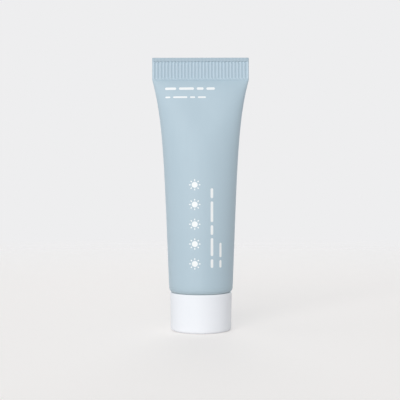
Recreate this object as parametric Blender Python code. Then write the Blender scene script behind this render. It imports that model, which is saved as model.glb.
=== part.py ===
"""Small squeeze tube of sun cream that stands on its screw cap. Metres, +Z up, the front towards -Y.

The sleeve is one soft plastic pipe. It is round where it is welded to the head, and its tail is pressed
flat and sealed between ribbed jaws. The pipe doesn't stretch, so each of its sections keeps the same girth,
and the sleeve grows wider as it grows flatter. The head's neck screws into the cap, where it presses on a
foam liner.
"""

import math

import bmesh
import bpy
import numpy as np

# Screw cap
cap_height = 0.0112
cap_rim_step = 0.0003
cap_taper = 0.0002
cap_wall = 0.0009
cap_end_thickness = 0.0011
cap_edge_radius = 0.0006
cap_rim_edge = 0.0002
cap_foot_width = 0.0016
cap_recess_depth = 0.0003
cap_rib_count = 8
cap_rib_thickness = 0.0006
cap_rib_height = 0.0055
socket_wall = 0.0010
socket_drop = 0.0009
socket_lead_in = 0.0004

# Liner and foil
liner_thickness = 0.0008
foil_thickness = 0.00015

# Thread, one start, right-handed
thread_lead = 0.0030
thread_depth = 0.0008
thread_root_width = 0.0010
thread_crest_width = 0.0005
neck_thread_turns = 1.5
cap_thread_turns = 2.0
thread_runout_share = 0.12
thread_end_share = 0.15

# Head
neck_root_radius = 0.0042
nozzle_radius = 0.0034
nozzle_length = 0.0006
nozzle_edge = 0.0002
nozzle_wall = 0.0010
orifice_radius = 0.00125
channel_radius = 0.0026
shoulder_drop = 0.0010
shoulder_thickness = 0.0010
band_height = 0.0026
band_wall = 0.0008

# Sleeve
sleeve_diameter = 0.0190
sleeve_wall = 0.0004
sleeve_length = 0.06975
sleeve_end_bend = 0.0012
seal_height = 0.00655
seal_lip_height = 0.0011
seal_pitch = 0.00102
seal_rib_depth = 0.00012
seal_press_depth = 0.00005
seal_rib_foot = 0.0002

# Shape of the sleeve between its round end and its flat end
girth_kept_share = 0.983
even_spread_share = 0.485
flare_power = 5.7
round_power = 0.5
tail_power = 0.3
tail_onset_power = 2.5
body_shares = (0, 0.1, 0.21, 0.33, 0.45, 0.56, 0.66, 0.74, 0.81, 0.87, 0.915, 0.95, 0.975, 0.99, 1)
cavity_top_share = 0.994

# Cream
fill_height = 0.0419

# Clearances
rim_gap = 0.00025
seat_gap = 0.0002
bond_gap = 0.0001
thread_clearance = 0.0003
cream_gap = 0.0002

# Mesh
round_steps = 48
bend_steps = 3
half_step_share = 0.5
overrun = 0.0002
merge_distance = 0.0000001
sharp_angle = math.radians(35)

# Places worked out from the sizes above. The cap's rim lies a step inside the sleeve, whose width it follows
sleeve_radius = sleeve_diameter / 2
cap_rim_radius = sleeve_radius - cap_rim_step
cap_end_radius = cap_rim_radius - cap_taper
cap_foot_inner = cap_end_radius - cap_edge_radius - cap_foot_width
cap_floor = cap_recess_depth + cap_end_thickness
socket_radius = neck_root_radius + thread_depth + thread_clearance
socket_top = cap_height - socket_drop
liner_bottom = cap_floor + seat_gap
foil_bottom = liner_bottom + liner_thickness + seat_gap
nozzle_tip = foil_bottom + foil_thickness
sleeve_end = cap_height + rim_gap
neck_length = sleeve_end - nozzle_tip
cavity_radius = sleeve_radius - sleeve_wall
lip_radius = sleeve_radius - sleeve_end_bend
cavity_half_width = girth_kept_share * math.pi * cavity_radius / 2
seal_foot = sleeve_length - seal_height


def from_srgb(red, green, blue):
    """Screen colour of 0 to 255 as the linear colour that a shader takes."""
    return *(((value / 255 + 0.055) / 1.055) ** 2.4 for value in (red, green, blue)), 1


def finish(name, colour, roughness, metallic=0):
    material = bpy.data.materials.new(name)
    material.use_nodes = True
    shader = material.node_tree.nodes["Principled BSDF"]
    shader.inputs["Base Color"].default_value = colour
    shader.inputs["Roughness"].default_value = roughness
    shader.inputs["Metallic"].default_value = metallic
    material.diffuse_color = colour
    return material


def carrier(name, height):
    """Empty on the thread's axis, which is the Z axis."""
    empty = bpy.data.objects.new(name, None)
    empty.location.z = height
    bpy.context.scene.collection.objects.link(empty)
    return empty


def piece(name, bm, parent, material=None):
    """Object made of the bmesh. Without a material it is a cutter or a shape to join, and isn't rendered."""
    bmesh.ops.remove_doubles(bm, verts=bm.verts, dist=merge_distance)
    bmesh.ops.recalc_face_normals(bm, faces=bm.faces)
    mesh = bpy.data.meshes.new(name)
    bm.to_mesh(mesh)
    bm.free()
    mesh.shade_smooth()
    mesh.set_sharp_from_angle(angle=sharp_angle)
    obj = bpy.data.objects.new(name, mesh)
    obj.parent = parent
    bpy.context.scene.collection.objects.link(obj)
    if material:
        mesh.materials.append(material)
    else:
        obj.hide_render = True
        obj.display_type = "WIRE"
    return obj


def combine(obj, other, operation):
    modifier = obj.modifiers.new(other.name, "BOOLEAN")
    modifier.operation = operation
    modifier.object = other


def turned(profile):
    """Profile of (radius, height) points spun round the Z axis. It is closed unless it ends on the axis."""
    bm = bmesh.new()
    points = [bm.verts.new((radius, 0, height)) for radius, height in profile]
    edges = [bm.edges.new(pair) for pair in zip(points, points[1:])]
    if profile[0][0] or profile[-1][0]:
        edges.append(bm.edges.new((points[-1], points[0])))
    full_turn = 2 * math.pi
    bmesh.ops.spin(bm, geom=points + edges, axis=(0, 0, 1), angle=full_turn, steps=round_steps)
    return bm


def skinned(rings):
    """Surface through closed rings of as many points each, with a flat face over the first and the last."""
    bm = bmesh.new()
    loops = [[bm.verts.new(point) for point in ring] for ring in rings]
    for low, high in zip(loops, loops[1:]):
        for i in range(len(low)):
            bm.faces.new((low[i - 1], low[i], high[i], high[i - 1]))
    bm.faces.new(loops[0])
    bm.faces.new(loops[-1])
    return bm


def arc(centre, radius, start, end, steps=bend_steps):
    """Points of an arc in (radius, height), with both ends, from one angle in degrees to the other."""
    angles = np.radians(np.linspace(start, end, steps + 1))
    return [(centre[0] + radius * math.cos(a), centre[1] + radius * math.sin(a)) for a in angles]


def helix_ridge(sunk_radius, crest_radius, start_height, turns):
    """Trapezoid carried up a right-handed helix. Where the thread runs out, it sinks into the wall.

    Its points lie half a step round from those of the wall that carries it.
    """
    bm = bmesh.new()
    rings = []
    for along in np.linspace(0, turns, round(turns * round_steps) + 1):
        rise = min(1, min(along, turns - along) / thread_runout_share)
        depth = (crest_radius - sunk_radius) * (thread_end_share + (1 - thread_end_share) * rise)
        crest = sunk_radius + depth
        middle = start_height + thread_lead * along
        root_half, crest_half = thread_root_width / 2, thread_crest_width / 2
        turn = 2 * math.pi * (along + half_step_share / round_steps)
        corners = (
            (sunk_radius, middle - root_half),
            (crest, middle - crest_half),
            (crest, middle + crest_half),
            (sunk_radius, middle + root_half),
        )
        rings.append([bm.verts.new((r * math.cos(turn), r * math.sin(turn), z)) for r, z in corners])
    for low, high in zip(rings, rings[1:]):
        for i in range(4):
            bm.faces.new((low[i - 1], low[i], high[i], high[i - 1]))
    bm.faces.new(rings[0])
    bm.faces.new(rings[-1])
    return bm


def section(half_width, half_depth, power, outwards, height):
    """Sleeve section: depth follows the sine of the angle to twice the power, moved out along its normal.

    A power of a half is an ellipse, and a lower one flattens the two faces between rounder folds.
    """
    angle = 2 * np.pi * np.arange(round_steps) / round_steps
    sine = np.sin(angle)
    across = half_width * np.cos(angle)
    deep = half_depth * np.sign(sine) * np.abs(sine) ** (2 * power)
    normal = np.stack([max(half_depth, sleeve_wall) * np.cos(angle), half_width * sine])
    normal = normal / np.hypot(*normal)
    up = np.full(round_steps, height)
    return np.stack([across + outwards * normal[0], deep + outwards * normal[1], up], axis=1)


def girth(ring):
    return np.linalg.norm(ring - np.roll(ring, 1, axis=0), axis=1).sum()


def cavity(share):
    """Half width, half depth and power of the sleeve's inside, at a share of the way from bend to seal.

    The width spreads evenly at first and flares below the seal. The depth is what leaves the girth as it
    was, found by halving, but for the little that the seal's heat takes off.
    """
    spread = even_spread_share * share + (1 - even_spread_share) * share**flare_power
    half_width = cavity_radius + (cavity_half_width - cavity_radius) * spread
    power = round_power + (tail_power - round_power) * share**tail_onset_power
    pipe = girth(section(cavity_radius, cavity_radius, round_power, 0, 0))
    flat = girth(section(cavity_half_width, 0, tail_power, 0, 0))
    wanted = pipe + (flat - pipe) * share**flare_power
    shallow, deep = 0, sleeve_radius
    while deep - shallow > merge_distance:
        middle = (shallow + deep) / 2
        if girth(section(half_width, middle, power, 0, 0)) < wanted:
            shallow = middle
        else:
            deep = middle
    return half_width, shallow, power


def sleeve_ring(share, outwards):
    height = sleeve_end_bend + (seal_foot - sleeve_end_bend) * share
    return section(*cavity(share), outwards, height)


def round_ring(radius, height):
    return section(radius, radius, round_power, 0, height)


bpy.ops.object.select_all(action="DESELECT")
for old in list(bpy.data.objects):
    bpy.data.objects.remove(old)

white_plastic = finish("white_plastic", from_srgb(240, 243, 246), 0.4)
liner_foam = finish("liner_foam", from_srgb(226, 228, 226), 0.8)
sleeve_plastic = finish("sleeve_plastic", from_srgb(184, 204, 215), 0.45)
head_plastic = finish("head_plastic", from_srgb(200, 214, 222), 0.4)
seal_foil = finish("seal_foil", from_srgb(205, 207, 210), 0.3, 1)
cream = finish("cream", from_srgb(246, 243, 234), 0.5)

cap_body = carrier("cap_body", 0)
liner_body = carrier("liner_body", liner_bottom)
tube_body = carrier("tube_body", sleeve_end)

# Screw cap: it stands on the ring round its recessed end, and ribs stiffen the socket against the skirt
skirt_rim_radius = cap_rim_radius - cap_wall
skirt_foot_radius = cap_end_radius - cap_wall
socket_outer_radius = socket_radius + socket_wall
cap_recess_radius = cap_foot_inner - cap_recess_depth
cap_profile = [(0, cap_recess_depth), (cap_recess_radius, cap_recess_depth), (cap_foot_inner, 0)]
cap_profile += arc((cap_end_radius - cap_edge_radius, cap_edge_radius), cap_edge_radius, -90, 0)
cap_profile += [
    (cap_rim_radius, cap_height - cap_rim_edge),
    (cap_rim_radius - cap_rim_edge, cap_height),
    (skirt_rim_radius + cap_rim_edge, cap_height),
    (skirt_rim_radius, cap_height - cap_rim_edge),
    (skirt_foot_radius, cap_floor),
    (socket_outer_radius, cap_floor),
    (socket_outer_radius, socket_top),
    (socket_radius + socket_lead_in, socket_top),
    (socket_radius, socket_top - socket_lead_in),
    (socket_radius, cap_floor),
    (0, cap_floor),
]
screw_cap = piece("screw_cap", turned(cap_profile), cap_body, white_plastic)

rib_inner = socket_outer_radius - socket_wall / 2
rib_outer = skirt_foot_radius + cap_wall / 2
rib_bottom = cap_floor - cap_end_thickness / 2
ribs = bmesh.new()
for rib in range(cap_rib_count):
    turn = 2 * math.pi * rib / cap_rib_count
    along, aside = np.array((math.cos(turn), math.sin(turn))), np.array((-math.sin(turn), math.cos(turn)))
    foot = []
    for radius, side in ((rib_inner, -1), (rib_outer, -1), (rib_outer, 1), (rib_inner, 1)):
        foot.append(ribs.verts.new((*(along * radius + aside * side * cap_rib_thickness / 2), rib_bottom)))
    raised = bmesh.ops.extrude_face_region(ribs, geom=[ribs.faces.new(foot)])["geom"]
    raised = [vert for vert in raised if isinstance(vert, bmesh.types.BMVert)]
    bmesh.ops.translate(ribs, verts=raised, vec=(0, 0, cap_rib_height + cap_end_thickness / 2))
combine(screw_cap, piece("cap_ribs", ribs, cap_body), "UNION")

# Thread: the cap's ridge runs half a lead below the neck's
neck_thread_start = nozzle_tip + nozzle_length + neck_root_radius - nozzle_radius + thread_root_width
cap_thread_start = neck_thread_start - thread_lead / 2
cap_ridge = helix_ridge(
    socket_radius + overrun, neck_root_radius + thread_clearance, cap_thread_start, cap_thread_turns
)
combine(screw_cap, piece("cap_thread", cap_ridge, cap_body), "UNION")

# Liner: a foam disc that the cap's thread holds in
liner_radius = socket_radius - thread_clearance
liner_profile = [(0, 0), (liner_radius, 0), (liner_radius, liner_thickness), (0, liner_thickness)]
piece("cap_liner", turned(liner_profile), liner_body, liner_foam)

# Head: neck with its channel and orifice, sloping shoulder, and a band that the sleeve's end is welded round
step = neck_root_radius - nozzle_radius
lip_inner = lip_radius - bond_gap
bend_inner = sleeve_end_bend - sleeve_wall - bond_gap
band_radius = cavity_radius - bond_gap
band_inner = band_radius - band_wall
head_profile = [
    (orifice_radius, -neck_length),
    (nozzle_radius - nozzle_edge, -neck_length),
    (nozzle_radius, nozzle_edge - neck_length),
    (nozzle_radius, nozzle_length - neck_length),
    (neck_root_radius, nozzle_length + step - neck_length),
    (neck_root_radius, -shoulder_drop),
    (lip_inner, 0),
    (lip_inner, sleeve_wall + bond_gap),
]
head_profile += arc((lip_radius, sleeve_end_bend), bend_inner, -90, 0)
head_profile += [
    (band_radius, band_height),
    (band_inner, band_height),
    (band_inner, shoulder_thickness),
    (channel_radius, shoulder_thickness - shoulder_drop),
    (channel_radius, nozzle_wall - neck_length),
    (orifice_radius, nozzle_wall - neck_length),
]
tube_head = piece("tube_head", turned(head_profile), tube_body, head_plastic)
neck_ridge_start = neck_thread_start - sleeve_end
neck_ridge = helix_ridge(
    neck_root_radius - overrun, neck_root_radius + thread_depth, neck_ridge_start, neck_thread_turns
)
combine(tube_head, piece("neck_thread", neck_ridge, tube_body), "UNION")

# Foil: a disc sealed to the nozzle's end face
foil_top = -neck_length
foil_face = foil_top - foil_thickness
foil_radius = nozzle_radius - nozzle_edge
foil_profile = [(0, foil_face), (foil_radius, foil_face), (foil_radius, foil_top), (0, foil_top)]
piece("foil_seal", turned(foil_profile), tube_body, seal_foil)

# Sleeve: up the inside from the seal to the bent end and back up the outside to the tail's lip
inner_bend = arc((lip_radius, sleeve_end_bend), sleeve_end_bend - sleeve_wall, 0, -90)
outer_bend = arc((lip_radius, sleeve_end_bend), sleeve_end_bend, -90, 0)
inside = [share for share in body_shares if 0 < share < cavity_top_share]
rings = [sleeve_ring(share, 0) for share in [cavity_top_share] + inside[::-1]]
rings += [round_ring(*point) for point in inner_bend + outer_bend]
rings += [sleeve_ring(share, sleeve_wall) for share in body_shares[1:]]
tail = rings[-1].copy()
tail[:, 2] = sleeve_length
rings.append(tail)
tube_sleeve = piece("tube_sleeve", skinned(rings), tube_body, sleeve_plastic)

# Jaws, wider than the seal, that press the ribs into both its faces below the plain lip
seal_half_width = cavity_half_width + sleeve_wall
rib_count = int(2 * seal_half_width / seal_pitch)
crest = sleeve_wall - seal_press_depth
valley = crest - seal_rib_depth
rib_shares = ((0.15, crest), (0.35, valley), (0.65, valley), (0.85, crest))
for side, name in ((-1, "front_jaw"), (1, "back_jaw")):
    outline = [(-seal_half_width - overrun, crest)]
    for rib in range(rib_count):
        left = (rib - rib_count / 2) * seal_pitch
        outline += [(left + share * seal_pitch, level) for share, level in rib_shares]
    outline += [(seal_half_width + overrun, crest), (seal_half_width + overrun, sleeve_wall + overrun)]
    outline += [(-seal_half_width - overrun, sleeve_wall + overrun)]
    jaw = bmesh.new()
    foot = jaw.faces.new([jaw.verts.new((x, side * y, seal_foot + seal_rib_foot)) for x, y in outline])
    raised = bmesh.ops.extrude_face_region(jaw, geom=[foot])["geom"]
    raised = [vert for vert in raised if isinstance(vert, bmesh.types.BMVert)]
    bmesh.ops.translate(jaw, verts=raised, vec=(0, 0, seal_height - seal_rib_foot - seal_lip_height))
    combine(tube_sleeve, piece(name, jaw, tube_body), "DIFFERENCE")

# Cream: it fills the neck and the sleeve's lower part, a little clear of the walls
cream_radii = (
    (orifice_radius - cream_gap, cream_gap - neck_length),
    (orifice_radius - cream_gap, nozzle_wall + cream_gap - neck_length),
    (channel_radius - cream_gap, nozzle_wall + cream_gap - neck_length),
    (channel_radius - cream_gap, shoulder_thickness - shoulder_drop + cream_gap),
    (band_inner - cream_gap, shoulder_thickness + cream_gap),
    (band_inner - cream_gap, band_height + cream_gap),
)
rings = [round_ring(*point) for point in cream_radii]
fill_share = (fill_height - sleeve_end_bend) / (seal_foot - sleeve_end_bend)
cream_foot_share = (band_height + cream_gap - sleeve_end_bend) / (seal_foot - sleeve_end_bend)
between = [share for share in body_shares if cream_foot_share < share < fill_share]
rings += [sleeve_ring(share, -cream_gap) for share in [cream_foot_share, *between, fill_share]]
piece("cream_fill", skinned(rings), tube_body, cream)
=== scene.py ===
"""Looks of a small squeeze tube of sun cream that stands on its screw cap, from the tail down.

Metres, +Z up, the front towards -Y. Each piece is a closed surface worked out on a grid of points, whose rows
follow a profile and whose columns run round the tube's axis. It stands for the plain solid of that piece.
"""

import bpy
import numpy as np
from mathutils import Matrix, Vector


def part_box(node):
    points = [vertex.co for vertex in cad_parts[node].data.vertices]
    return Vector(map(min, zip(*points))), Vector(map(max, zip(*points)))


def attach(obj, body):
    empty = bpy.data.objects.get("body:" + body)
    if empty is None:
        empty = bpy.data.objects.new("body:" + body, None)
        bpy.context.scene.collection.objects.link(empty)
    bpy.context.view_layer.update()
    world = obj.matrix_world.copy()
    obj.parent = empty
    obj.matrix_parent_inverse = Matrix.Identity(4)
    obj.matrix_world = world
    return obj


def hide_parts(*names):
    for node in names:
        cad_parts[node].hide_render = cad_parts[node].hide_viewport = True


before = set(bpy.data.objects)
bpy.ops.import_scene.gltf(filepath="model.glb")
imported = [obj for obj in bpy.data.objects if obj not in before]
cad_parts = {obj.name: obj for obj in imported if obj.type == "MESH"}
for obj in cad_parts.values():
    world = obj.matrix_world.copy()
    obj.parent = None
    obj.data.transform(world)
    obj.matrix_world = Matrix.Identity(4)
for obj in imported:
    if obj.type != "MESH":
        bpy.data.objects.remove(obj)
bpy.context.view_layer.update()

# Sleeve
# A pipe of soft blue-grey plastic with its lower end turned in over the head and welded to it. Its tail is
# pressed flat and welded to itself between toothed jaws, so that the back's grooves lie behind the front's
# ribs. The marks on its front are printed in white: a column of small suns and plain dashes.
sleeve_low, sleeve_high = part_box("tube_sleeve")
sleeve_wall = 0.0004
end_drop = 0.00015
sleeve_end = sleeve_low.z - end_drop
tail_top = sleeve_high.z
sleeve_radius = sleeve_high.y
cavity_radius = sleeve_radius - sleeve_wall
bend_width = 0.0012
bend_height = 0.00135
lip_radius = sleeve_radius - bend_width
bend_top = sleeve_end + bend_height
weld_top = 0.0132
weld_edge = 0.0003
weld_depth = 0.00003

even_spread_share = 0.485
flare_power = 5.7
round_power = 0.5
tail_power = 0.3
tail_onset_power = 2.5
cavity_top_share = 0.994

seal_half_width = sleeve_high.x
cavity_half_width = seal_half_width - sleeve_wall
seal_height = 0.00655
seal_foot = tail_top - seal_height
rib_step = 0.0002
rib_foot = seal_foot + rib_step
tail_lip_height = 0.0011
rib_top = tail_top - tail_lip_height
press_edge = 0.00016
press_depth = 0.00005
rib_ramp = 0.0005
rib_depth = 0.00024
dent_depth = 0.00014
dent_groove_share = 0.7
foot_dent_reach = 0.0004
foot_dent_top = rib_foot + 0.0003
top_dent_reach = 0.0007
cut_edge = 0.00006
weld_line_depth = 0.00004
weld_line_half_widths = (0.00005, 0.00001)

front_hollow = 0.0009
front_hollow_aside = 0.0008
back_hollow = 0.0005
hollow_height = 0.0650
hollow_reach = 0.0065
hollow_end = 0.001
hollow_full = 0.005

sleeve_columns = 460
columns_per_rib = 8
ribs_per_side = 14
fold_columns = 4
outline_steps = 1440
girth_steps = 360
halvings = 24
inside_rows, inside_crowding = 26, 0.8
outside_rows, outside_crowding = 108, 1.25
inner_bend_steps, outer_bend_steps = 6, 10
back_middle = np.pi / 2


def smooth(value, low, high):
    """0 up to low, 1 from high on, and between them three squares less two cubes of the way."""
    way = np.clip((value - low) / (high - low), 0, 1)
    return way * way * (3 - 2 * way)


def band(value, low, low_full, high_full, high):
    """0 up to the first level, 1 from the second to the third, and 0 again from the fourth on."""
    return smooth(value, low, low_full) * (1 - smooth(value, high_full, high))


def hill(value, middle, reach):
    """1 at the middle and a little over a third at the reach from it: exp of minus the square of the way."""
    return np.exp(-(((value - middle) / reach) ** 2))


def section(angle, half_width, half_depth, power):
    """Outline of the sleeve's inside, and its outward direction.

    Across is the half width times the cosine. Deep is the half depth times the sine to twice the power: a
    power of a half is an ellipse, and a lower one flattens the two faces between rounder folds.
    """
    sine = np.sin(angle)
    across = half_width * np.cos(angle)
    deep = half_depth * np.sign(sine) * np.abs(sine) ** (2 * power)
    out_x = np.maximum(half_depth, sleeve_wall) * np.cos(angle)
    out_y = half_width * sine
    size = np.hypot(out_x, out_y)
    return across, deep, out_x / size, out_y / size


def length_round(across, deep):
    """Distance walked along each row's outline, from its first point to every other."""
    steps = np.hypot(np.diff(across), np.diff(deep))
    return np.concatenate([np.zeros((len(steps), 1)), np.cumsum(steps, axis=1)], axis=1)


def cavity(share):
    """Half width, half depth and power of the sleeve's inside, at shares of the way from bend to seal.

    The width spreads evenly and then flares towards the seal. The pipe doesn't stretch, so the depth is the
    one that leaves its girth alone, found by halving, but for the little that the seal's heat takes off.
    """
    share = share[:, None]
    spread = even_spread_share * share + (1 - even_spread_share) * share**flare_power
    half_width = cavity_radius + (cavity_half_width - cavity_radius) * spread
    power = round_power + (tail_power - round_power) * share**tail_onset_power
    angle = np.linspace(0, 2 * np.pi, girth_steps + 1)
    pipe, flat = 2 * np.pi * cavity_radius, 4 * cavity_half_width
    wanted = pipe + (flat - pipe) * share**flare_power
    shallow, deep = np.zeros_like(share), np.full_like(share, sleeve_radius)
    for _ in range(halvings):
        middle = (shallow + deep) / 2
        girth = length_round(*section(angle, half_width, middle, power)[:2])[:, -1:]
        shallow, deep = np.where(girth < wanted, middle, shallow), np.where(girth < wanted, deep, middle)
    return half_width, shallow, power


def loft(height, half_width, half_depth, power, outwards, columns):
    """Grid of points with one row for each section, moved outwards, and columns at even steps of its length.

    The columns start at the middle of the back and run by -X, the front and +X. So each one is a line of the
    plastic that was straight before the pipe was pressed flat.
    """
    dense = back_middle + np.linspace(0, 2 * np.pi, outline_steps + 1)
    across, deep, out_x, out_y = section(dense, half_width, half_depth, power)
    mean_out = np.mean(outwards, axis=1, keepdims=True)
    walked = length_round(across + mean_out * out_x, deep + mean_out * out_y)
    row = 2 * np.arange(len(height))[:, None]
    shares = np.arange(columns) / columns + row
    angle = np.interp(shares.ravel(), (walked / walked[:, -1:] + row).ravel(), np.tile(dense, len(height)))
    across, deep, out_x, out_y = section(angle.reshape(shares.shape), half_width, half_depth, power)
    up = np.broadcast_to(height[:, None], across.shape)
    return np.stack([across + outwards * out_x, deep + outwards * out_y, up], axis=2)


def quads(rows, columns):
    """Faces of a grid whose last column meets its first, as point numbers."""
    row, column = np.mgrid[: rows - 1, :columns]
    after = (column + 1) % columns
    corners = [row * columns + column, row * columns + after]
    corners += [(row + 1) * columns + after, (row + 1) * columns + column]
    return np.stack(corners, axis=-1).reshape(-1, 4)


def zipped(columns, first, upwards):
    """Faces that close a row, from each column of one half to the one straight across on the other."""
    column = np.arange(columns // 4, 3 * columns // 4)
    across = (columns // 2 - column) % columns
    after, after_across = column + 1, (across - 1) % columns
    order = (column, after, after_across, across) if upwards else (across, after_across, after, column)
    found = [list(dict.fromkeys(face)) for face in np.stack(order, axis=1).tolist()]
    return [[first + point for point in face] for face in found]


def solid(name, points, faces, body, slot, *nodes):
    """Object with this mesh, which rides on the body and stands for the nodes."""
    mesh = bpy.data.meshes.new(name)
    mesh.from_pydata(points, [], faces)
    mesh.shade_smooth()
    obj = bpy.data.objects.new(name, mesh)
    bpy.context.scene.collection.objects.link(obj)
    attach(obj, body)
    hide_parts(*nodes)
    return obj


# Rows: down the inside from the seal, round the bent end, up the outside, up the seal and over its cut edge
inside_share = np.linspace(cavity_top_share, 0, inside_rows) ** inside_crowding
inside = (bend_top + (seal_foot - bend_top) * inside_share, *cavity(inside_share))
inner_turn = np.radians(np.linspace(0, -90, inner_bend_steps + 1))[1:]
outer_turn = np.radians(np.linspace(-90, 0, outer_bend_steps + 1))[:-1]
turn = np.concatenate([inner_turn, outer_turn])
wall_inside = sleeve_wall * (np.arange(len(turn)) < len(inner_turn))
bend_radius = (lip_radius + (bend_width - wall_inside) * np.cos(turn))[:, None]
bend_z = bend_top + (bend_height - wall_inside) * np.sin(turn)
bent = (bend_z, bend_radius, bend_radius, np.full_like(bend_radius, round_power))
outside_share = 1 - np.linspace(1, 0, outside_rows) ** outside_crowding
end_shares = [0.002, 0.004, 0.006, 0.010, 0.9945, 0.9965, 0.9985]
outside_share = np.sort(np.append(outside_share, end_shares))
outside = (bend_top + (seal_foot - bend_top) * outside_share, *cavity(outside_share))
above_rib_foot = np.array([-0.1, 0, 0.08, 0.16, 0.24, 0.4]) / 1000
below_rib_top = np.array([0.56, 0.44, 0.32, 0.2, 0.14, 0.07, 0, -0.1, -0.4]) / 1000
below_tail_top = [0.0003, cut_edge, cut_edge / 3, 0, 0, weld_line_depth]
along_ribs = np.linspace(rib_foot + 0.0006, rib_top - top_dent_reach, 11)
seal_z = [rib_foot + above_rib_foot, along_ribs, rib_top - below_rib_top, tail_top - np.array(below_tail_top)]
seal_z = np.concatenate(seal_z)
flat = np.ones((len(seal_z), 1))
seal = (seal_z, cavity_half_width * flat, 0 * flat, tail_power * flat)
height, half_width, half_depth, power = (np.concatenate(part) for part in zip(inside, bent, outside, seal))

# How far each point lies outside the cavity: the wall, less the marks pressed into its outer face, and less
# the hollow that the jaws leave in both faces of the tube below the seal
rows = len(height)
column = np.arange(sleeve_columns)
z = height[:, None]
to_front = np.abs(column - sleeve_columns / 2)
to_back = sleeve_columns / 2 - to_front
rib_turn = 2 * np.pi / columns_per_rib
groove = (1 - np.cos(rib_turn * to_front)) / 2 * (to_front < ribs_per_side * columns_per_rib)
back_groove = (1 + np.cos(rib_turn * to_back)) / 2 * (to_back < (ribs_per_side - 0.5) * columns_per_rib)
groove = groove + back_groove
pressed = band(z, rib_foot, rib_foot + press_edge, rib_top - press_edge, rib_top)
marks = pressed * (press_depth + rib_depth * groove * smooth(z, rib_foot, rib_foot + rib_ramp))
foot_dent = band(z, seal_foot - foot_dent_reach, seal_foot, rib_foot - rib_step / 2, foot_dent_top)
top_dent = band(z, rib_top - top_dent_reach, rib_top - rib_step, rib_top - press_edge, rib_top)
marks = marks + dent_depth * (foot_dent + top_dent) * (1 - dent_groove_share * groove)
marks = marks * smooth(np.abs(to_front - sleeve_columns / 4), 0, fold_columns)
marks = marks + cut_edge * smooth(z, tail_top - cut_edge, tail_top)
marks = marks + weld_depth * (1 - smooth(z, weld_top, weld_top + weld_edge))
from_front = (column / sleeve_columns - 0.5) * 4 * seal_half_width
from_back = 2 * seal_half_width - np.abs(from_front)
hollow = front_hollow * hill(from_front, front_hollow_aside, hollow_reach)
hollow = hollow + back_hollow * hill(from_back, 0, hollow_reach)
hollow = hollow * hill(z, hollow_height, hollow_reach) * smooth(seal_foot - z, hollow_end, hollow_full)
row = np.arange(rows)[:, None]
outer_rows = row >= len(inside_share) + len(inner_turn)
straight_rows = row >= len(inside_share) + len(turn)
outwards = straight_rows * sleeve_wall - outer_rows * marks - hollow
outwards[-2:] = np.array(weld_line_half_widths)[:, None]
points = loft(height, half_width, half_depth, power, outwards, sleeve_columns).reshape(-1, 3)
wall_faces = quads(rows, sleeve_columns)
faces = wall_faces.tolist() + zipped(sleeve_columns, 0, False)
faces += zipped(sleeve_columns, (rows - 1) * sleeve_columns, True)
sleeve = solid("sleeve", points, faces, "tube", "sleeve_plastic", "tube_sleeve")

# The film laid flat, for what is printed on it: metres round from the front's middle, and metres up
corner_column = wall_faces % sleeve_columns
corner_column[:, 1:3] = corner_column[:, :1] + 1
film_flat = np.zeros((len(sleeve.data.loops), 2))
film_flat[: wall_faces.size, 0] = ((corner_column / sleeve_columns - 0.5) * 4 * seal_half_width).ravel()
film_flat[: wall_faces.size, 1] = points[wall_faces.ravel(), 2]
sleeve.data.uv_layers.new(name="film").data.foreach_set("uv", film_flat.ravel())


class Signal:
    """A value that varies over a surface, held as a node's output. Sums and products of it add Math nodes."""

    def __init__(self, socket):
        self.socket = socket

    def node(self, kind, settings, values, output=0):
        """Output of a new node, whose settings are set first and then its sockets, by name or place."""
        made = self.socket.id_data.nodes.new(kind)
        for name, value in settings.items():
            setattr(made, name, value)
        for place, value in values.items():
            if isinstance(value, Signal):
                self.socket.id_data.links.new(value.socket, made.inputs[place])
            else:
                made.inputs[place].default_value = value
        return Signal(made.outputs[output])

    def maths(self, operation, *values):
        return self.node("ShaderNodeMath", {"operation": operation}, dict(enumerate(values)))

    def __add__(self, other):
        return self.maths("ADD", self, other)

    def __sub__(self, other):
        return self.maths("SUBTRACT", self, other)

    def __mul__(self, other):
        return self.maths("MULTIPLY", self, other)

    def __abs__(self):
        return self.maths("ABSOLUTE", self)

    def __radd__(self, other):
        return self.maths("ADD", other, self)

    def __rsub__(self, other):
        return self.maths("SUBTRACT", other, self)

    def __rmul__(self, other):
        return self.maths("MULTIPLY", other, self)

    def rise(self, low, high):
        """0 at low and 1 at high, eased at both."""
        values = {0: self, 1: low, 2: high}
        return self.node("ShaderNodeMapRange", {"interpolation_type": "SMOOTHSTEP"}, values)

    def repeat(self, step):
        """The signal brought back to between half a step below zero and half a step above."""
        return self.maths("FLOORED_MODULO", self + step / 2, step) - step / 2

    def axis(self, number):
        """One of the three numbers of these coordinates."""
        return self.node("ShaderNodeSeparateXYZ", {}, {0: self}, number)

    def tint(self, colour, other):
        """The first colour where the signal is 0 and the other where it is 1."""
        return self.node("ShaderNodeMix", {"data_type": "RGBA"}, {0: self, 6: colour, 7: other}, 2)

    def stretch(self, x, y, z):
        """Coordinates with each axis multiplied, so that a pattern on them is drawn out along the lowest."""
        return self.node("ShaderNodeVectorMath", {"operation": "MULTIPLY"}, {0: self, 1: (x, y, z)})

    def noise(self, scale, detail):
        """Soft noise of 0 to 1 at these coordinates, with about scale lumps in a metre."""
        return self.node("ShaderNodeTexNoise", {}, {"Vector": self, "Scale": scale, "Detail": detail})

    def bump(self, depth):
        """Normal of a surface that this signal raises by its value times the depth in metres."""
        return self.node("ShaderNodeBump", {}, {"Distance": depth, "Height": self})


def screen(red, green, blue):
    """Screen colour of 0 to 255 as the linear colour that a shader takes."""
    return *(((value / 255 + 0.055) / 1.055) ** 2.4 for value in (red, green, blue)), 1


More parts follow.
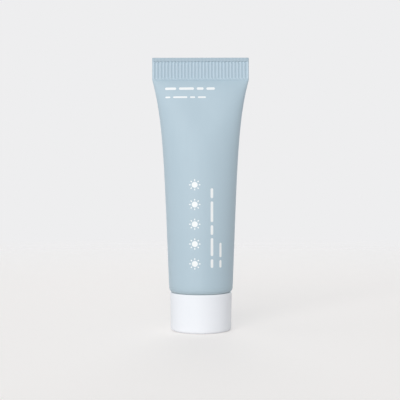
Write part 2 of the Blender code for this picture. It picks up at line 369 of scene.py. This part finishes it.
def finish(obj, name, plain):
    """Gives the object a material with these plain values. Returns its feed and its Object coordinates."""
    material = bpy.data.materials.new(name)
    material.use_nodes = True
    shader = material.node_tree.nodes["Principled BSDF"]
    for socket, value in plain.items():
        shader.inputs[socket].default_value = value
    obj.data.materials.append(material)

    def feed(socket, signal):
        material.node_tree.links.new(signal.socket, shader.inputs[socket])

    return feed, Signal(material.node_tree.nodes.new("ShaderNodeTexCoord").outputs["Object"])


sun_column = -0.00172
lowest_sun = 0.0203
sun_pitch = 0.0057
sun_count = 5
sun_radius = 0.00085
ray_count = 8
ray_start = 0.00115
ray_end = 0.00161
ray_half_width = 0.00016
print_edge = 0.00003
dash_edge_share = 0.06


def dash(along, aside, start, end, thickness):
    """1 on a printed stroke with round ends, by the squared distance from the line through its middle."""
    beyond = abs(along - (start + end) / 2) - (end - start - thickness) / 2
    beyond = beyond.maths("MAXIMUM", beyond, 0.0)
    inner, outer = (0.5 - dash_edge_share) * thickness, (0.5 + dash_edge_share) * thickness
    return 1 - (beyond * beyond + aside * aside).rise(inner**2, outer**2)


def past(distance, limit):
    """1 beyond the limit and 0 before it, with the print's soft edge between."""
    return distance.rise(limit - print_edge, limit + print_edge)


def suns(across, up, lowest, pitch, count):
    """1 on a column of small suns: each is a disc with short rays at even turns round it."""
    above = (up - lowest).repeat(pitch)
    radius = across.maths("SQRT", across * across + above * above)
    from_ray = across.maths("ARCTAN2", above, across).repeat(2 * np.pi / ray_count)
    beside_ray = abs(radius * across.maths("SINE", from_ray))
    ray = (1 - past(beside_ray, ray_half_width)) * past(radius, ray_start)
    sun = 1 - past(radius, sun_radius) + ray * (1 - past(radius, ray_end))
    from_middle = abs(up - (lowest + (count - 1) * pitch / 2))
    return sun * (1 - past(from_middle, count * pitch / 2))


feed, place = finish(sleeve, "satin_sleeve_plastic", {"IOR": 1.5})
film = place.node("ShaderNodeUVMap", {"uv_map": "film"}, {})
across, up = film.axis(0), film.axis(1)
ink = suns(across - sun_column, up, lowest_sun, sun_pitch, sun_count)
# Lines of dashes, in millimetres: the line's middle, its thickness, and the start and end of each stroke
upright_lines = (
    (3.15, 0.75, ((19.1, 21.6), (22.5, 27.7), (28.6, 31.4), (32.3, 38.3), (39.2, 42.1))),
    (5.8, 0.70, ((19.1, 21.3), (22.1, 26.3))),
)
level_lines = (
    (71.7, 0.75, ((-10.4, -7.1), (-6.3, -1.9), (-1.1, 0.9), (1.7, 4.2))),
    (69.05, 0.50, ((-10.4, -8.9), (-8.1, -3.9), (-3.1, -1.6), (-0.8, 1.6))),
)
for along, aside, lines in ((up, across, upright_lines), (across, up, level_lines)):
    for middle, thickness, strokes in lines:
        for start, end in strokes:
            ink = ink + dash(along, aside - middle / 1000, start / 1000, end / 1000, thickness / 1000)
darker_plastic, lighter_plastic = screen(179, 200, 212), screen(187, 206, 217)
weld_colour, bend_painted_light = screen(166, 186, 195), screen(206, 220, 223)
groove_painted_shade, crest_painted_highlight, lip_colour = screen(170, 191, 204), screen(202, 220, 233), screen(170, 189, 201)
print_white = screen(246, 249, 250)
grain = place.noise(2600, 3)
drawn = place.stretch(1, 1, 0.03).noise(700, 2)
height = place.axis(2)
plastic = (0.6 * place.noise(55, 2) + 0.4 * drawn).tint(darker_plastic, lighter_plastic)
welded = 1 - height.rise(weld_top - 0.0002, weld_top + 0.0001)
plastic = (0.2 * welded).tint(plastic, weld_colour)
# Painted light: the underside of the turned-in end is painted lighter, for the light that the white cap
# throws back up onto it.
turned_in = 1 - height.rise(sleeve_end + 0.0001, sleeve_end + 0.0006)
plastic = (0.8 * turned_in).tint(plastic, bend_painted_light)
# Painted light and shade on the seal: each rib's crest is painted lighter as a painted highlight, and each
# groove darker as painted shade, on top of the ribs' own relief.
rib_pitch = 4 * seal_half_width * columns_per_rib / sleeve_columns
behind = across.maths("GREATER_THAN", abs(across), seal_half_width)
from_middle = abs(across) - 2 * seal_half_width * behind
crest = 0.5 + 0.5 * across.maths("COSINE", from_middle * (2 * np.pi / rib_pitch) + np.pi * behind)
sealed = height.rise(seal_foot, rib_foot + 0.0003)
plastic = (0.7 * sealed).tint(plastic, crest.tint(groove_painted_shade, crest_painted_highlight))
lip = height.rise(rib_top - 0.0001, rib_top + 0.0001)
plastic = (0.8 * lip).tint(plastic, lip_colour)
feed("Base Color", ink.tint(plastic, print_white))
feed("Roughness", 0.46 + 0.07 * grain + 0.03 * drawn - 0.1 * ink)
feed("Normal", (grain + 0.5 * drawn + 1.5 * ink).bump(0.000006))

# Head
# Stiffer plastic, moulded in one with its threaded neck and nozzle. The sleeve is welded round its rim.
head_low, head_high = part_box("tube_head")
turned_columns = 192
bond_gap = 0.00002
neck_radius = 0.0042
nozzle_radius = 0.0034
nozzle_length = 0.0006
nozzle_end_wall = 0.0010
orifice_radius = 0.00125
channel_radius = 0.0026
nozzle_tip = head_low.z
nozzle_shoulder = nozzle_tip + nozzle_length
neck_foot = nozzle_shoulder + neck_radius - nozzle_radius
channel_foot = nozzle_tip + nozzle_end_wall
seam_radius = orifice_radius + 0.0004
band_radius = head_high.x
band_wall = 0.0008
band_inner = band_radius - band_wall
shoulder_rim = sleeve_low.z
shoulder_drop = 0.0010
shoulder_thickness = 0.0010
cup_floor = shoulder_rim + shoulder_thickness
lip_inner = lip_radius - bond_gap
lip_height = shoulder_rim + sleeve_wall + bond_gap
thread_lead = 0.0030
thread_depth = 0.0008
thread_sink = 0.0002
thread_steps = 96
thread_first_angle = np.pi / 48
thread_end_share = 0.15
thread_runout = 0.12
neck_thread_turns = 1.5
neck_thread_start = neck_foot + 0.0010
arc_steps = 4


def rounded(corners, most_step=0.0004):
    """Profile through (radius, height, fillet) corners, each turned on an arc, in short steps between."""
    spots = np.array([corner[:2] for corner in corners], float)
    path = [spots[:1]]
    for before, here, after, corner in zip(spots, spots[1:], spots[2:], corners[1:]):
        back, ahead = (before - here) / np.hypot(*(before - here)), (after - here) / np.hypot(*(after - here))
        half_angle = np.arccos(np.clip(back @ ahead, -1, 1)) / 2
        centre = here + (back + ahead) / np.hypot(*(back + ahead)) * corner[2] / np.sin(half_angle)
        start = here + back * corner[2] / np.tan(half_angle) - centre
        left = np.array([-start[1], start[0]])
        swing = (np.pi - 2 * half_angle) * np.sign(-left @ back) * np.linspace(0, 1, arc_steps + 1)[:, None]
        path.append(centre + np.cos(swing) * start + np.sin(swing) * left)
    path = np.concatenate([*path, spots[-1:]])
    steps = np.ceil(np.hypot(*np.diff(path, axis=0).T) / most_step).astype(int)
    pieces = [np.linspace(a, b, n, endpoint=False) for a, b, n in zip(path, path[1:], steps) if n]
    return np.concatenate([*pieces, path[-1:]])


def spun(profile, columns=turned_columns):
    """Grid of a (radius, height) profile turned round the Z axis, with a row for each of its points."""
    angle = 2 * np.pi * np.arange(columns) / columns
    radius, up = profile[:, :1], profile[:, 1:]
    return np.stack([radius * np.cos(angle), radius * np.sin(angle), up + 0 * angle], axis=2)


def ringed(grid):
    """Points and faces of a grid whose last row meets its first, where it ends as well."""
    rows, columns = len(grid) - 1, grid.shape[1]
    return grid[:-1].reshape(-1, 3), (quads(rows + 1, columns) % (rows * columns)).tolist()


def capped(grid):
    """Points and faces of a grid whose first and last rows each close on a point at their middle."""
    rows, columns = grid.shape[:2]
    points = np.concatenate([grid.reshape(-1, 3), grid[[0, -1]].mean(axis=1)])
    column = np.arange(columns)
    after = (column + 1) % columns
    last = (rows - 1) * columns
    low = np.stack([after, column, np.full(columns, rows * columns)], axis=1)
    high = np.stack([last + column, last + after, np.full(columns, rows * columns + 1)], axis=1)
    return points, quads(rows, columns).tolist() + low.tolist() + high.tolist()


def joined(*parts):
    """Points and faces of several closed surfaces in one mesh."""
    starts = np.cumsum([0] + [len(points) for points, faces in parts])
    faces = [[start + point for point in face] for start, part in zip(starts, parts) for face in part[1]]
    return np.concatenate([points for points, faces in parts]), faces


def thread(root_radius, crest_radius, start_height, turns):
    """Ridge carried up a right-handed helix, which climbs the lead in each turn and sinks in at both ends.

    Its ring of points is a trapezoid with round corners, 1 mm wide at the root and 0.5 mm at the crest. The
    ring runs the other way round on a ridge that faces the axis, so that its faces still point outwards.
    """
    way = np.linspace(0, turns, round(turns * thread_steps) + 1)[:, None]
    whole = smooth(np.minimum(way, turns - way), 0, thread_runout)
    rise = thread_end_share + (1 - thread_end_share) * whole
    angle = thread_first_angle + 2 * np.pi * way
    out = np.array([0, 0.45, 0.75, 0.93, 1, 1, 0.93, 0.75, 0.45, 0])
    along = np.array([0.5, 0.39, 0.31, 0.25, 0.15, -0.15, -0.25, -0.31, -0.39, -0.5]) * 0.001
    if crest_radius < root_radius:
        out, along = out[::-1], along[::-1]
    radius = root_radius + (crest_radius - root_radius) * out * rise
    up = start_height + thread_lead * way + along
    return capped(np.stack([radius * np.cos(angle), radius * np.sin(angle), up], axis=2))


neck_and_band = [
    (seam_radius, nozzle_tip, 0),
    (nozzle_radius, nozzle_tip, 0.0002),
    (nozzle_radius, nozzle_shoulder, 0.00015),
    (neck_radius, neck_foot, 0.00015),
    (neck_radius, shoulder_rim - shoulder_drop, 0.0004),
    (lip_inner, shoulder_rim, 0.0001),
    (lip_inner, lip_height, 0.00005),
    (band_radius, lip_height, 0.0007),
    (band_radius, head_high.z, 0.00015),
    (band_inner, head_high.z, 0.00015),
    (band_inner, cup_floor, 0.0005),
    (channel_radius, shoulder_rim, 0.0004),
    (channel_radius, channel_foot, 0.0003),
    (orifice_radius, channel_foot, 0.0001),
    (orifice_radius, nozzle_tip, 0.0001),
    (seam_radius, nozzle_tip, 0),
]
neck_crest = neck_radius + thread_depth
neck_thread = thread(neck_radius - thread_sink, neck_crest, neck_thread_start, neck_thread_turns)
head_mesh = joined(ringed(spun(rounded(neck_and_band))), neck_thread)
head = solid("head", *head_mesh, "tube", "head_plastic", "tube_head")

feed, place = finish(head, "moulded_head_plastic", {"IOR": 1.5})
grain = place.noise(1800, 3)
feed("Base Color", place.noise(90, 2).tint(screen(196, 211, 219), screen(203, 217, 225)))
feed("Roughness", 0.36 + 0.1 * grain)
feed("Normal", grain.bump(0.000008))

# Foil
# A disc of aluminium foil, peeled off before first use. A hot ring seals it to the nozzle's end face and
# leaves its mark there, and over the opening the foil sags in a little.
foil_low, foil_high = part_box("foil_seal")
foil_middle = (foil_low.z + foil_high.z) / 2
foil_ring_inner = 0.00165
foil_ring_outer = 0.00285
foil_ring_edge = 0.00015
foil_ring_depth = 0.00004
sag_flat_radius = 0.0006
sag_radius = 0.0013
sag_depth = 0.00008
middle_radius = 0.0002


def ring_mark(radius, inner, outer, edge):
    """1 on a ring pressed into a disc between two radii, with a soft edge inside each."""
    return band(radius, inner, inner + edge, outer - edge, outer)


foil_profile = [
    (middle_radius, foil_low.z, 0),
    (foil_high.x, foil_low.z, 0.00006),
    (foil_high.x, foil_high.z, 0.00006),
    (middle_radius, foil_high.z, 0),
]
foil_profile = rounded(foil_profile, 0.0001)
foil_radius = foil_profile[:, 0]
foil_ring = ring_mark(foil_radius, foil_ring_inner, foil_ring_outer, foil_ring_edge)
sag = 1 - smooth(foil_radius, sag_flat_radius, sag_radius)
outer_face = foil_profile[:, 1] < foil_middle
foil_profile[:, 1] += (foil_ring_depth * foil_ring + sag_depth * sag) * outer_face
foil_mesh = capped(spun(foil_profile))
foil = solid("foil", *foil_mesh, "tube", "seal_foil", "foil_seal")

feed, place = finish(foil, "sealing_foil", {"Metallic": 1.0})
crease = place.noise(1400, 4)
rolled = place.stretch(1, 0.04, 1).noise(5000, 2)
feed("Base Color", (0.6 * crease + 0.4 * rolled).tint(screen(172, 175, 180), screen(232, 233, 236)))
feed("Roughness", 0.18 + 0.2 * crease + 0.1 * rolled)
feed("Normal", (crease + 0.1 * rolled).bump(0.00012))

# Cream
# Off-white sun cream, about 10 ml, which fills the neck and the sleeve's lower part. Its top dips from the
# walls that it wets, round a low peak where the filling nozzle drew off.
cream_low, cream_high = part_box("cream_fill")
cream_gap = 0.0002
cream_columns = 144
fill_rows, level_rows = 40, 30
wall_climb = 0.0007
peak_height = 0.0004
fill_neck = orifice_radius - cream_gap
fill_channel = channel_radius - cream_gap
fill_band = band_inner - cream_gap
cream_foot = [
    (middle_radius, cream_low.z, 0),
    (fill_neck, cream_low.z, 0.0001),
    (fill_neck, channel_foot + cream_gap, 0.0001),
    (fill_channel, channel_foot + cream_gap, 0.0002),
    (fill_channel, shoulder_rim + cream_gap, 0.0003),
    (fill_band, cup_floor + cream_gap, 0.0003),
    (fill_band, head_high.z + cream_gap, 0.0001),
    (cavity_radius - 2 * cream_gap, head_high.z + 2 * cream_gap, 0),
]
foot_grid = np.roll(spun(rounded(cream_foot), cream_columns), -cream_columns // 4, axis=1)
fill_heights = np.linspace(head_high.z + 3 * cream_gap, cream_high.z, fill_rows)
fill_sections = cavity((fill_heights - bend_top) / (seal_foot - bend_top))
fill_outwards = np.full((fill_rows, cream_columns), -cream_gap)
fill_grid = loft(fill_heights, *fill_sections, fill_outwards, cream_columns)
level_share = np.linspace(0.98, 0.02, level_rows)[:, None, None]
dip = wall_climb * smooth(1 - level_share, 0, 0.5) - peak_height * hill(level_share, 0, 0.2)
level_grid = fill_grid[-1:] * [1, 1, 0] * level_share + [0, 0, 1] * (cream_high.z - dip)
cream_mesh = capped(np.concatenate([foot_grid, fill_grid, level_grid]))
cream = solid("cream", *cream_mesh, "tube", "cream", "cream_fill")

feed, place = finish(cream, "sun_cream", {"IOR": 1.4})
swirl = place.noise(320, 3)
feed("Base Color", swirl.tint(screen(243, 239, 229), screen(248, 246, 239)))
feed("Roughness", 0.36 + 0.16 * swirl)
feed("Normal", swirl.bump(0.00012))

# Liner
# A disc of foamed plastic that the cap's thread holds in. The nozzle presses on it and leaves a faint ring.
liner_low, liner_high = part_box("cap_liner")
liner_middle = (liner_low.z + liner_high.z) / 2
liner_ring_inner = 0.0022
liner_ring_outer = 0.0037
liner_ring_edge = 0.0004
liner_ring_depth = 0.00006
liner_profile = [
    (middle_radius, liner_low.z, 0),
    (liner_high.x, liner_low.z, 0.0001),
    (liner_high.x, liner_high.z, 0.0001),
    (middle_radius, liner_high.z, 0),
]
liner_profile = rounded(liner_profile, 0.0002)
liner_ring = ring_mark(liner_profile[:, 0], liner_ring_inner, liner_ring_outer, liner_ring_edge)
upper_face = liner_profile[:, 1] > liner_middle
liner_profile[:, 1] -= liner_ring_depth * liner_ring * upper_face
liner = solid("liner", *capped(spun(liner_profile)), "liner", "liner_foam", "cap_liner")

feed, place = finish(liner, "liner_foam", {"Roughness": 0.8})
cells = place.node("ShaderNodeTexVoronoi", {}, {"Vector": place, "Scale": 3200})
feed("Base Color", cells.tint(screen(214, 217, 215), screen(232, 234, 232)))
feed("Normal", cells.bump(0.00003))

# Screw cap
# White plastic, moulded in one: a smooth skirt, a threaded socket inside it and eight ribs between the two.
# It stands on the ring round its recessed end, where the mould's gate leaves a small mark, and is screwed on
# until its rim all but touches the sleeve's bent end.
cap_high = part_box("screw_cap")[1]
cap_rim_radius = cap_high.x
cap_taper = 0.0002
cap_end_radius = cap_rim_radius - cap_taper
cap_wall = 0.0009
cap_rim_gap = 0.00002
cap_rim_height = sleeve_end - cap_rim_gap
cap_floor = 0.0014
cap_foot_width = 0.0022
cap_foot_inner = cap_end_radius - cap_foot_width
cap_middle_radius = 0.0001
recess_depth = 0.0003
socket_radius = 0.0053
socket_outer_radius = 0.0063
socket_drop = 0.0009
socket_top = cap_high.z - socket_drop
socket_lead_in = 0.0004
cap_thread_turns = 2
thread_clearance = 0.0003
gate_radius = 0.0007
gate_height = 0.00012
cap_rib_count = 8
cap_rib_rows = 8
cap_rib_height = 0.0055
cap_rib_sink = 0.0005
cap_rib_edge = 0.00012
cap_rib_half_widths = (0.0003, 0.0003, 0.00028, 0.0002)
skirt_and_socket = [
    (cap_middle_radius, recess_depth - gate_height, 0),
    (gate_radius, recess_depth - gate_height, 0.00008),
    (gate_radius + 0.0001, recess_depth, 0.00006),
    (cap_foot_inner - recess_depth, recess_depth, 0.0001),
    (cap_foot_inner, 0, 0.0001),
    (cap_end_radius, 0, 0.0006),
    (cap_rim_radius, cap_rim_height, 0.0002),
    (cap_rim_radius - cap_wall, cap_rim_height, 0.0002),
    (cap_end_radius - cap_wall, cap_floor, 0.0003),
    (socket_outer_radius, cap_floor, 0.0002),
    (socket_outer_radius, socket_top, 0.00015),
    (socket_radius + socket_lead_in, socket_top, 0.0001),
    (socket_radius, socket_top - socket_lead_in, 0.0002),
    (socket_radius, cap_floor, 0.0002),
    (cap_middle_radius, cap_floor, 0),
]
cap_crest = neck_radius + thread_clearance
cap_thread_start = neck_thread_start - thread_lead / 2
cap_thread = thread(socket_radius + thread_sink, cap_crest, cap_thread_start, cap_thread_turns)


def rib(turn):
    """Plate between the socket and the skirt, from the floor up, a little thinner towards its top."""
    low, high = cap_floor - cap_rib_sink, cap_floor + cap_rib_height
    inner, outer = socket_outer_radius - cap_rib_sink, cap_end_radius - cap_wall / 2
    edge = high - cap_rib_edge
    rows = np.array([low, *np.linspace(cap_floor, edge, cap_rib_rows), high - cap_rib_edge / 3, high])
    half = np.interp(rows, [low, cap_floor, edge, high], cap_rib_half_widths)[:, None]
    radius, side = np.array([inner, outer, outer, inner]), np.array([-1, -1, 1, 1]) * half
    across = radius * np.cos(turn) - side * np.sin(turn)
    deep = radius * np.sin(turn) + side * np.cos(turn)
    return capped(np.stack([across, deep, rows[:, None] + 0 * across], axis=2))


cap_ribs = [rib(2 * np.pi * number / cap_rib_count) for number in range(cap_rib_count)]
cap_mesh = joined(capped(spun(rounded(skirt_and_socket))), cap_thread, *cap_ribs)
cap = solid("cap", *cap_mesh, "cap", "white_plastic", "screw_cap")

feed, place = finish(cap, "white_cap_plastic", {"IOR": 1.49})
grain = place.noise(2200, 3)
feed("Base Color", place.noise(60, 2).tint(screen(243, 247, 252), screen(247, 249, 254)))
feed("Roughness", 0.38 + 0.08 * grain)
feed("Normal", grain.bump(0.000005))

# Studio
# A plain pale floor that fades into a pale backdrop, three large soft lamps and the photograph's camera.
floor_reach = 2
fade_start, fade_end = 0.10, 0.60
lamp_aim = np.array([0, 0, 0.04])
camera_aside, camera_distance, camera_height = -0.00023, 0.240, 0.0387
camera_roll = 0.12

floor_corners = [(floor_reach * x, floor_reach * y, 0) for x, y in ((-1, -1), (1, -1), (1, 1), (-1, 1))]
floor_mesh = bpy.data.meshes.new("floor")
floor_mesh.from_pydata(floor_corners, [], [(0, 1, 2, 3)])
floor = bpy.data.objects.new("floor", floor_mesh)
bpy.context.scene.collection.objects.link(floor)


def seen(signal):
    """1 for rays that the camera sends, straight or by gloss or glass, and 0 for those that give light."""
    kinds = ("Is Camera Ray", "Is Glossy Ray", "Is Transmission Ray")
    camera_ray, glossy_ray, glass_ray = (signal.node("ShaderNodeLightPath", {}, {}, kind) for kind in kinds)
    return signal.maths("MAXIMUM", camera_ray, signal.maths("MAXIMUM", glossy_ray, glass_ray))


floor_plain = {"Base Color": screen(226, 221, 217), "Roughness": 0.8, "Emission Strength": 1.0}
feed, place = finish(floor, "pale_floor", floor_plain)
distance = place.node("ShaderNodeVectorMath", {"operation": "LENGTH"}, {0: place}, "Value")
feed("Alpha", 1 - distance.rise(fade_start, fade_end))
feed("Emission Color", seen(place).tint((0, 0, 0, 1), (0.24, 0.245, 0.25, 1)))

world = bpy.data.worlds.new("studio")
world.use_nodes = True
bpy.context.scene.world = world
background = world.node_tree.nodes["Background"]
shade = seen(Signal(background.outputs[0])).tint(screen(190, 192, 194), screen(238, 238, 239))
world.node_tree.links.new(shade.socket, background.inputs["Color"])


def lamp(name, azimuth, elevation, distance, size, power):
    """Square soft lamp at that direction from the tube's middle, which it faces. Azimuth 0 is the front."""
    turn, rise = np.radians(azimuth), np.radians(elevation)
    way = np.array([np.sin(turn) * np.cos(rise), -np.cos(turn) * np.cos(rise), np.sin(rise)])
    data = bpy.data.lights.new(name, "AREA")
    data.energy = power
    data.size = size
    obj = bpy.data.objects.new(name, data)
    obj.location = lamp_aim + distance * way
    obj.rotation_euler = (np.pi / 2 - rise, 0, turn)
    bpy.context.scene.collection.objects.link(obj)


lamp("key", -17, 20, 1.6, 1.2, 13.0)
lamp("left_fill", -85, 10, 1.6, 1.0, 1.7)
lamp("back_fill", 180, 8, 1.6, 1.2, 7.0)

camera_data = bpy.data.cameras.new("photo_camera")
camera_data.lens = 72.2
camera_data.sensor_width = 36
camera_data.clip_start = 0.01
camera = bpy.data.objects.new("photo_camera", camera_data)
camera.location = (camera_aside, -camera_distance, camera_height)
camera.rotation_euler = np.radians((90, camera_roll, 0))
bpy.context.scene.collection.objects.link(camera)
bpy.context.scene.camera = camera
bpy.context.scene.view_settings.view_transform = "Standard"
